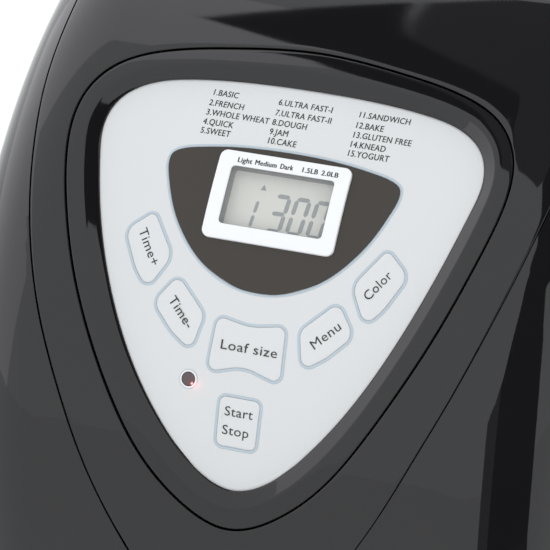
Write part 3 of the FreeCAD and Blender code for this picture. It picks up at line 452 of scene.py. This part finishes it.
def cover_edge(angles, corner):
    """The cover's reach along each ray, to its side seams or to the lid's line."""
    side = smooth_open(COVER_HALF)
    side = side[side[:, 1] < SIDE_TOP]
    outline = np.vstack([side, side[::-1][1:] * (-1, 1)])
    to_right = np.clip(0.5 + 1.5 * np.cos(angles), 0, 1)
    edge = polar_radius(outline, FACE_STAR, angles)
    edge += SKIN_GROW[0] + (SKIN_GROW[1] - SKIN_GROW[0]) * to_right
    for i, angle in enumerate(angles):
        if corner - 1e-6 <= angle <= math.pi - corner + 1e-6:
            edge[i] = lid_reach(angle)
    return edge


EDGE_ROLL = [(0.0, 0.5), (0.04, 0.3), (0.15, 0.12), (0.32, 0.03), (0.55, 0.0)]  # (inset, depth)
EDGE_BAND = 1.0                        # the open skin starts this far inside its edges


def front_cover():
    """The V shaped centre moulding with rolled edges at the seam, the lid line and the ring."""
    angles, corner = cover_rays()
    outer = cover_edge(angles, corner)
    hole_loop = smooth_closed(mirrored(RING_HALF))
    hole_loop = hole_loop + (RING_GROW + RING_GAP) * outward(hole_loop)
    hole = polar_radius(hole_loop, FACE_STAR, angles)
    direction = np.column_stack([np.cos(angles), np.sin(angles)])

    rows = [(outer, WALL)]
    rows += [(outer - inset, depth) for inset, depth in EDGE_ROLL]
    for f in np.linspace(0, 1, 30)[1:-1]:
        rows.append(((outer - EDGE_BAND) * (1 - f) + (hole + EDGE_BAND) * f, 0.0))
    rows += [(hole + inset, depth) for inset, depth in reversed(EDGE_ROLL)]
    rows.append((hole, WALL))
    for f in np.linspace(0, 1, 8)[1:-1]:
        rows.append((hole * (1 - f) + outer * f, WALL))
    back_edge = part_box("front_cover")[1][1]
    grid = []
    for reach, depth in rows:
        p = FACE_STAR + reach[:, None] * direction
        place = on_skin(p[:, 0], p[:, 1], depth)
        place[:, 1] = np.minimum(place[:, 1], back_edge)
        grid.append(place)
    mesh = torus_mesh("front_cover_skin", np.array(grid), 50)
    new_object("front_cover_skin", mesh, "housing", M["gloss_black"],
               ["front_cover"])


PANEL_OVERLAP = 0.2                    # the ring's foot inside the panel's outline


def ring_section():
    """(fraction of the ring's width, depth below the cover) from the panel out to the groove."""
    sunk = COVER_R - PANEL_R
    foot = [(0.0, sunk + 1.6), (0.0, sunk - 0.5), (0.02, sunk - 0.75), (0.06, sunk - 1.05)]
    wall = [(0.08 + 0.32 * f, sunk - 1.2 - (sunk - 1.75) * f) for f in np.linspace(0, 1, 7)]
    crest = [(0.43, 0.34), (0.47, 0.22), (0.52, 0.17), (0.6, 0.16), (0.7, 0.18), (0.8, 0.22)]
    rim = [(0.9, 0.25), (0.95, 0.29), (0.975, 0.37), (0.99, 0.5), (1.0, 0.75), (1.0, 4.6)]
    return foot + wall + crest + rim


def bezel_ring():
    """The glossy ring: a flat land, a rounded crest and a wall that flares down to the panel."""
    angles = np.linspace(0, 2 * math.pi, RAYS, endpoint=False)
    direction = np.column_stack([np.cos(angles), np.sin(angles)])
    inner = polar_radius(smooth_closed(mirrored(PANEL_HALF)), FACE_STAR, angles) - PANEL_OVERLAP
    outer_loop = smooth_closed(mirrored(RING_HALF))
    outer = polar_radius(outer_loop + RING_GROW * outward(outer_loop), FACE_STAR, angles)
    grid = []
    for f, depth in ring_section():
        p = FACE_STAR + (inner + (outer - inner) * f)[:, None] * direction
        grid.append(on_skin(p[:, 0], p[:, 1], depth))
    mesh = torus_mesh("bezel_ring_gloss", np.array(grid), 55)
    new_object("bezel_ring_gloss", mesh, "housing", M["gloss_black"],
               ["bezel_ring"])


front_cover()
bezel_ring()


# ------------------------------------------------------------------ printed lines and keys

OUTLINE_WIDTH, OUTLINE_RISE = 0.95, 0.14
OUTLINE_EDGE = 0.12                    # how far in from its sides the line is full height


def outline_strip(name, loop, inside):
    """A thin raised line that follows a loop on the panel's curve."""
    loop = resampled(loop, max(120, int(len(loop) * 1.2)))
    normal = outward(loop)
    profile = ((inside, -0.05), (inside, OUTLINE_RISE * 0.6),
               (inside + OUTLINE_EDGE, OUTLINE_RISE), (OUTLINE_WIDTH - OUTLINE_EDGE, OUTLINE_RISE),
               (OUTLINE_WIDTH, OUTLINE_RISE * 0.6), (OUTLINE_WIDTH, -0.05))
    rows = []
    for offset, rise in profile:
        p = loop + offset * normal
        rows.append(face_on_panel(p[:, 0], p[:, 1], rise))
    new_object(name, torus_mesh(name, np.array(rows), 60), "housing",
               M["outline_blue"])


KEYS = {
    "time_plus": flipped(TIME_KEY), "time_minus": flipped(MENU_KEY), "color": TIME_KEY,
    "menu": MENU_KEY, "loaf_size": LOAF_KEY, "start_stop": START_KEY,
}


KEY_PROFILE = [(-0.05, -7.0), (-0.05, 0.0), (-0.09, 0.16), (-0.22, 0.27), (-0.5, 0.33),
               (-1.4, 0.37)]           # (beyond the outline, above the panel)


def keys():
    """A cap with a rolled edge for each key, and the blue line printed round it."""
    for name, corners in KEYS.items():
        loop = resampled(rounded_polygon(corners), 160)
        normal = outward(loop)
        rows = []
        for offset, rise in KEY_PROFILE:
            p = loop + offset * normal
            rows.append(face_on_panel(p[:, 0], p[:, 1], rise))
        mesh = capped_mesh(name + "_cap", np.array(rows), 50)
        new_object(name + "_cap", mesh, name + "_button", M["key_white"],
                   [name + "_key"])
        outline_strip(name + "_outline", loop, 0.02)


def shield_outline():
    loop = resampled(smooth_closed(mirrored(SHIELD_HALF)), 320)
    outline_strip("shield_outline", loop, 0.05)


keys()
shield_outline()


# ------------------------------------------------------------------ lettering

CAPITAL_SHARE = 0.70                   # capital height over font size
LETTER_SPACING = 1.06


def text_mesh(text, height):
    """Flat letters of a given capital height in millimetres, as mesh data."""
    curve = bpy.data.curves.new("letters", "FONT")
    curve.body = text
    curve.size = height / CAPITAL_SHARE
    curve.space_character = LETTER_SPACING
    curve.space_line = 0.95
    curve.extrude = 0.02
    curve.resolution_u = 3
    holder = bpy.data.objects.new("letters", curve)
    bpy.context.scene.collection.objects.link(holder)
    bpy.context.view_layer.update()
    mesh = bpy.data.meshes.new_from_object(holder)
    bpy.data.objects.remove(holder)
    return mesh


def print_text(name, text, x, v, height, turn=0.0, centred=False, squeeze=1.0, length=None,
               rise=0.05, body="housing"):
    """Letters laid on the panel's curve; x and v are the baseline start or the middle."""
    mesh = text_mesh(text, height)
    co = np.zeros(len(mesh.vertices) * 3)
    mesh.vertices.foreach_get("co", co)
    co = co.reshape(-1, 3)
    co[:, 0] *= length / np.ptp(co[:, 0]) if length else squeeze
    if centred:
        co[:, 0] -= (co[:, 0].min() + co[:, 0].max()) / 2
        co[:, 1] -= height / 2
    c, s = math.cos(math.radians(turn)), math.sin(math.radians(turn))
    px = x + c * co[:, 0] - s * co[:, 1]
    pv = v + s * co[:, 0] + c * co[:, 1]
    world = on_panel(px, pv, rise + co[:, 2])
    mesh.vertices.foreach_set("co", world.reshape(-1))
    mesh.update()
    mesh.name = name
    new_object(name, mesh, body, M["ink"])


PROGRAMS = [
    ["1.BASIC", "2.FRENCH", "3.WHOLE WHEAT", "4.QUICK", "5.SWEET"],
    ["6.ULTRA FAST-I", "7.ULTRA FAST-II", "8.DOUGH", "9.JAM", "10.CAKE"],
    ["11.SANDWICH", "12.BAKE", "13.GLUTEN FREE", "14.KNEAD", "15.YOGURT"],
]
COLUMN_X = (-32.7, -9.2, 18.8)
ROW_V = (34.3, 30.3, 26.7, 23.2, 19.9)
KEY_LABELS = [
    # key, text, middle across, middle up the panel, turn, length
    ("time_plus", "Time+", -40.0, -21.5, -57.5, 13.0),
    ("time_minus", "Time-", -24.7, -40.9, -46.0, 11.6),
    ("color", "Color", 39.8, -21.6, 55.0, 11.2),
    ("menu", "Menu", 25.6, -40.4, 46.0, 11.4),
    ("loaf_size", "Loaf size", 0.6, -48.9, 0.0, 19.6),
    ("start_stop", "Start", 0.1, -70.3, 0.0, 9.8),
    ("start_stop", "Stop", -0.4, -76.6, 0.0, 9.2),
]
BEZEL_MARKS = [("Light", -16.6, 4.9), ("Medium", -10.5, 7.4), ("Dark", -1.7, 4.4),
               ("1.5LB", 5.7, 5.3), ("2.0LB", 12.7, 5.8)]


LEGEND_HEIGHT, LEGEND_SQUEEZE, LEGEND_SHIFT = 2.2, 0.84, 0.07
MARK_HEIGHT, MARK_V, MARK_RISE, MARK_SHIFT = 1.75, 11.2, 1.63, 0.14
LABEL_HEIGHT, LABEL_RISE = 3.15, 0.4


def legends():
    """The printed words; the small ones are laid twice, a hair apart, to look bolder."""
    for column, words in enumerate(PROGRAMS):
        for row, text in enumerate(words):
            for layer, shift in enumerate((0, LEGEND_SHIFT)):
                print_text("legend_%d_%d_%d" % (column, row, layer), text,
                           COLUMN_X[column] + shift, ROW_V[row], LEGEND_HEIGHT,
                           squeeze=LEGEND_SQUEEZE)
    for text, x, length in BEZEL_MARKS:
        for layer, shift in enumerate((0, MARK_SHIFT)):
            print_text("mark_%s_%d" % (text.replace(".", "_"), layer), text, x + shift, MARK_V,
                       MARK_HEIGHT, rise=MARK_RISE, length=length)
    for key, text, x, v, turn, length in KEY_LABELS:
        print_text(key + "_label_" + text[:4].lower(), text, x, v, LABEL_HEIGHT, turn, True,
                   length=length, rise=LABEL_RISE, body=key + "_button")


legends()


# ------------------------------------------------------------------ display

FRAME_SIZE = (46, 30.4, 2.6)           # width, height and corner radius
WINDOW_SIZE = (36, 20, 1.3)
FRAME_FOOT = 0.42                      # the frame starts this far above the panel's curve
SHADE_SHEET_FOOT = -3.3                     # the lower edge of the grey sheet of painted shade on the window's walls, from the panel's level
INK_LOW, INK_HIGH = -3.4, -3.34        # underside and top of the bars, from the same level
BARS_RIGHT, BARS_BOTTOM = 17.6, -9.6   # the bars are cut off at the window's edges
DIGIT_LEAN = 0.09


def display_plane(x, y, height):
    """A point on the flat display module, in its own square frame."""
    return face_to_world(*np.broadcast_arrays(np.asarray(x, float), y, PANEL_R + height),
                         tilt=DISPLAY_TILT)


def rounded_rectangle(width, height, radius, per_corner=8):
    w, h = width / 2, height / 2
    return rounded_polygon([(w, h, radius), (w, -h, radius), (-w, -h, radius), (-w, h, radius)],
                           per_corner)


def display_curve(loop, height):
    """A loop in the display's frame, raised on the panel's curve."""
    r = PANEL_R + height
    return face_to_world(loop[:, 0], loop[:, 1], np.sqrt(r**2 - loop[:, 1]**2), DISPLAY_TILT)


def display_bezel():
    """A soft edged white frame, and a grey sheet down the walls of its window that paints the shade
    in the recess.
    """
    frame_loop = resampled(rounded_rectangle(*FRAME_SIZE), 240)
    window = resampled(rounded_rectangle(*WINDOW_SIZE), 240)
    out, inn = outward(frame_loop), outward(window)
    start = np.argmin(np.abs(np.arctan2(window[:, 1], window[:, 0])
                             - math.atan2(frame_loop[0, 1], frame_loop[0, 0])))
    window, inn = np.roll(window, -start, 0), np.roll(inn, -start, 0)
    rows = [display_curve(frame_loop, FRAME_FOOT)]
    for inset, height in ((0.0, 1.15), (0.06, 1.38), (0.2, 1.52), (0.45, 1.58)):
        rows.append(display_curve(frame_loop - inset * out, height))
    for outset, height in ((0.4, 1.59), (0.18, 1.54), (0.04, 1.4), (0.0, 1.2)):
        rows.append(display_curve(window + outset * inn, height))
    rows.append(display_curve(window, FRAME_FOOT))
    mesh = torus_mesh("display_frame", np.array(rows), 50)
    new_object("display_frame", mesh, "housing", M["bezel_white"], ["lcd_bezel"])
    # a grey sheet down the window's walls: painted shade where the recess lies in shadow
    rows = []
    for inset, height in ((0.0, 1.0), (0.1, 1.0), (0.3, SHADE_SHEET_FOOT), (0.0, SHADE_SHEET_FOOT)):
        rows.append(display_plane(*(window - inset * inn).T, height))
    new_object("display_wall_painted_shade", torus_mesh("display_wall_painted_shade", np.array(rows), 40), "housing",
               M["window_wall_painted_shade"])


def flat_bar(name, corners):
    """One thin dark bar or mark on the display, cut off at the window's edges."""
    corners = np.array(corners, float)
    corners[:, 0] = np.minimum(corners[:, 0], BARS_RIGHT)
    corners[:, 1] = np.maximum(corners[:, 1], BARS_BOTTOM)
    rows = [display_plane(corners[:, 0], corners[:, 1], h) for h in (INK_LOW, INK_HIGH)]
    new_object(name, capped_mesh(name, np.array(rows), 30), "housing", M["lcd_ink"])


def segment(x, y, length, upright, thick):
    """Corners of a pointed bar, lying or upright, sheared to the right with height."""
    h = thick / 2
    shape = [(-length / 2, 0), (-length / 2 + h, h), (length / 2 - h, h), (length / 2, 0),
             (length / 2 - h, -h), (-length / 2 + h, -h)]
    if upright:
        shape = [(b, a) for a, b in shape][::-1]
    return [(x + a + DIGIT_LEAN * (y + b), y + b) for a, b in shape]


DIGITS = {"1": "bc", "3": "abcdg", "0": "abcdef"}
DIGIT_PLACES = [
    # digit, middle across, foot, half width, height of a bar's cell, thickness
    ("1", -10.0, -9.0, 2.3, 4.9, 1.15), ("3", 0.4, -8.8, 2.15, 6.0, 1.45),
    ("0", 7.4, -8.8, 2.15, 6.0, 1.45), ("0", 14.5, -8.8, 2.15, 6.0, 1.45),
]
POINTER = [(-7.9, 4.3), (-6.9, 6.3), (-5.8, 4.3)]


def bar_spots(x, foot, half, unit):
    """Where the seven bars of a digit go, by letter: middle across, middle up, and if upright."""
    return {"a": (x, foot + 2 * unit, False), "g": (x, foot + unit, False),
            "d": (x, foot, False), "b": (x + half, foot + 1.5 * unit, True),
            "c": (x + half, foot + 0.5 * unit, True),
            "f": (x - half, foot + 1.5 * unit, True),
            "e": (x - half, foot + 0.5 * unit, True)}


def display_digits():
    """Seven bar digits: a small programme number and the time, and a pointer to the marks."""
    for i, (digit, x, foot, half, unit, thick) in enumerate(DIGIT_PLACES):
        spots = bar_spots(x, foot, half, unit)
        for part in DIGITS[digit]:
            across, up, upright = spots[part]
            length = unit - 0.6 if upright else 2 * half + 0.2
            flat_bar("digit_%d_%s" % (i, part), segment(across, up, length, upright, thick))
    flat_bar("pointer", POINTER)


display_bezel()
display_digits()


LED_MIDDLE = np.array((-18.8, -34.4))
LED_SPOT = LED_MIDDLE + (1.35, -1.2)   # where the lens shines
LED_DISC, LED_HOLE, LED_RIM, LED_COLLAR, LED_LINE = 2.25, 2.2, 2.42, 2.9, 3.2   # radii


def led_circle(middle, radius, height):
    angles = np.linspace(0, 2 * math.pi, 48, endpoint=False)[::-1]
    circle = np.column_stack([np.cos(angles), np.sin(angles)])
    return face_on_panel(*(middle + radius * circle).T, height)


def led_ring(name, profile, material):
    rows = [led_circle(LED_MIDDLE, radius, height) for radius, height in profile]
    new_object(name, torus_mesh(name, np.array(rows), 50), "housing", M[material])


def led_disc(name, middle, radius, low, high, material):
    rows = [led_circle(middle, radius, height) for height in (low, high)]
    new_object(name, capped_mesh(name, np.array(rows), 30), "housing", M[material])


def led():
    """A dark lens in a pale collar, with the bright spot at its lower right."""
    led_disc("led_face", LED_MIDDLE, LED_DISC, 0.02, 0.14, "led_red")
    led_ring("led_rim", [(LED_HOLE, 0.05), (LED_HOLE, 0.2), (LED_RIM, 0.2), (LED_RIM, 0.05)],
             "black_satin")
    led_ring("led_collar", [(LED_RIM, -0.1), (LED_RIM, 0.18), (2.6, 0.24), (LED_COLLAR, 0.22),
                            (LED_COLLAR, -0.1)], "bezel_white")
    led_ring("led_line", [(LED_COLLAR, -0.1), (LED_COLLAR, 0.14), (LED_LINE, 0.1),
                          (LED_LINE, -0.1)], "outline_blue")
    led_disc("led_spot", LED_SPOT, 0.4, 0.05, 0.17, "led_glow")


led()


# ------------------------------------------------------------------ stage, camera, lights

FLOOR_REACH = 6.0                      # metres, as everything below
CAMERA_PLACE = Vector((0.37861, -1.13821, 0.75157))
CAMERA_BACK = Vector((0.3129, -0.8342, 0.4540))     # from the machine to the camera
CAMERA_SIDE = Vector((0.9363, 0.3512, 0))           # the picture's right
CAMERA_LENS, CAMERA_SENSOR = 239.6, 36              # millimetres


def stage():
    mesh = bpy.data.meshes.new("floor")
    corners = [(x * FLOOR_REACH, y * FLOOR_REACH, 0)
               for x, y in ((-1, -1), (1, -1), (1, 1), (-1, 1))]
    mesh.from_pydata(corners, [], [(0, 1, 2, 3)])
    floor = bpy.data.objects.new("floor", mesh)
    bpy.context.scene.collection.objects.link(floor)
    mesh.materials.append(shader("floor", (0.9, 0.9, 0.9), 0.6, bump=0.02, tint=0.01))


def camera():
    back, side = CAMERA_BACK.normalized(), CAMERA_SIDE.normalized()
    data = bpy.data.cameras.new("camera")
    data.sensor_width = CAMERA_SENSOR
    data.lens = CAMERA_LENS
    data.clip_end = 50
    holder = bpy.data.objects.new("camera", data)
    rotation = Matrix((side, back.cross(side), back)).transposed().to_4x4()
    holder.matrix_world = Matrix.Translation(CAMERA_PLACE) @ rotation
    bpy.context.scene.collection.objects.link(holder)
    bpy.context.scene.camera = holder


def glow(name, place, power, color, radius):
    """A small lamp close to the panel."""
    data = bpy.data.lights.new(name, "POINT")
    data.energy = power
    data.color = color
    data.shadow_soft_size = radius
    lamp = bpy.data.objects.new(name, data)
    lamp.location = place
    bpy.context.scene.collection.objects.link(lamp)


def card(name, corners, level):
    """A board that only the glossy surfaces see, as in a product photographer's tent."""
    mesh = bpy.data.meshes.new(name)
    mesh.from_pydata(corners, [], [tuple(range(len(corners)))])
    board = bpy.data.objects.new(name, mesh)
    bpy.context.scene.collection.objects.link(board)
    mesh.materials.append(shader(name, (0, 0, 0), 1.0, specular=0.0, emission=(1, 1, 1.05),
                                 strength=level))
    for ray in ("camera", "diffuse", "transmission", "shadow", "volume_scatter"):
        setattr(board, "visible_" + ray, False)


CEILING = 5.7                          # height of the level boards over the lid's front
LID_FRONT = (-0.08, 0.27)              # Y and Z of the lid's front
TENT_MIDDLE = (0.09, -0.15)            # the right-hand boards stand round this corner of the body
TENT_RADIUS = 0.5
FLOOR_GAP = -0.02                      # boards that stand on the floor start just under it

# corners of the level boards, as the sideways parts of unit vectors from the lid's front
CEILING_DARK = [(-0.348, 0.15), (-0.284, 0.375), (-0.284, 0.2), (-0.262, 0.1), (-0.23, -0.05),
                (-0.2, -0.3), (-0.25, -0.28), (-0.25, -0.1), (-0.296, 0.0), (-0.312, 0.075)]
CEILING_DIM = [(-0.28, 0.38), (-0.2, 0.6), (0.5, 0.6), (0.5, -0.2), (0.36, -0.32),
               (-0.2, -0.3), (-0.23, -0.05), (-0.262, 0.1), (-0.284, 0.2)]


def ceiling_card(name, ways, level=0.0):
    """A level board overhead."""
    corners = []
    for x, y in ways:
        reach = CEILING / math.sqrt(1 - x * x - y * y)
        corners.append((x * reach, y * reach + LID_FRONT[0], CEILING + LID_FRONT[1]))
    card(name, corners, level)


def bearing(middle, distance, degrees):
    """A point on the floor plan, at a bearing from the front towards the right."""
    return (middle[0] + distance * math.sin(math.radians(degrees)),
            middle[1] - distance * math.cos(math.radians(degrees)))


def upright_card(name, start, end, low, high, level=0.0, middle=TENT_MIDDLE,
                 distance=TENT_RADIUS):
    """An upright board between two bearings; `high` is its height at either end."""
    first, last = [bearing(middle, distance, degrees) for degrees in (start, end)]
    card(name, [(*first, low), (*last, low), (*last, high[1]), (*first, high[0])], level)


def floor_card(name, spots, level):
    """A board lying just above the floor, from (distance, bearing) corners."""
    card(name, [(*bearing(TENT_MIDDLE, distance, degrees), 0.001) for distance, degrees in spots],
         level)


def world_light(color, strength):
    world = bpy.data.worlds.new("studio")
    bpy.context.scene.world = world
    world.use_nodes = True
    background = world.node_tree.nodes["Background"]
    background.inputs["Color"].default_value = (*color, 1)
    background.inputs["Strength"].default_value = strength


def lights():
    """An even white surround, the lamp's red spill, and the boards that the gloss mirrors."""
    world_light((0.97, 0.985, 1.0), 1.25)
    spill = face_on_panel(np.array([-16.5]), np.array([-35.9]), 1.2)[0]
    glow("led_spill", spill, 8e-5, (1.0, 0.12, 0.16), 0.0006)
    ceiling_card("ceiling_dark", CEILING_DARK)
    ceiling_card("ceiling_dim", CEILING_DIM, 0.16)
    upright_card("right_gap", 29, 67, FLOOR_GAP, (0.38, 0.9))
    floor_card("right_floor", ((0.15, 26), (0.15, 70), (0.52, 67), (0.52, 25)), 0.03)
    upright_card("right_dim", 21, 29, FLOOR_GAP, (0.3, 0.38), 0.2)
    upright_card("right_high", 64.5, 96, 0.46, (1.1, 1.1), 0.0, (-0.06, -0.13), 0.6)
    upright_card("left_low", -128, -48, FLOOR_GAP, (3.2, 3.2), 1.75, (0, 0), 8.0)
    upright_card("left_high", -128, -88, 3.2, (24, 24), 1.75, (0, 0), 8.0)


bpy.context.scene.view_settings.view_transform = "Standard"
stage()
camera()
lights()
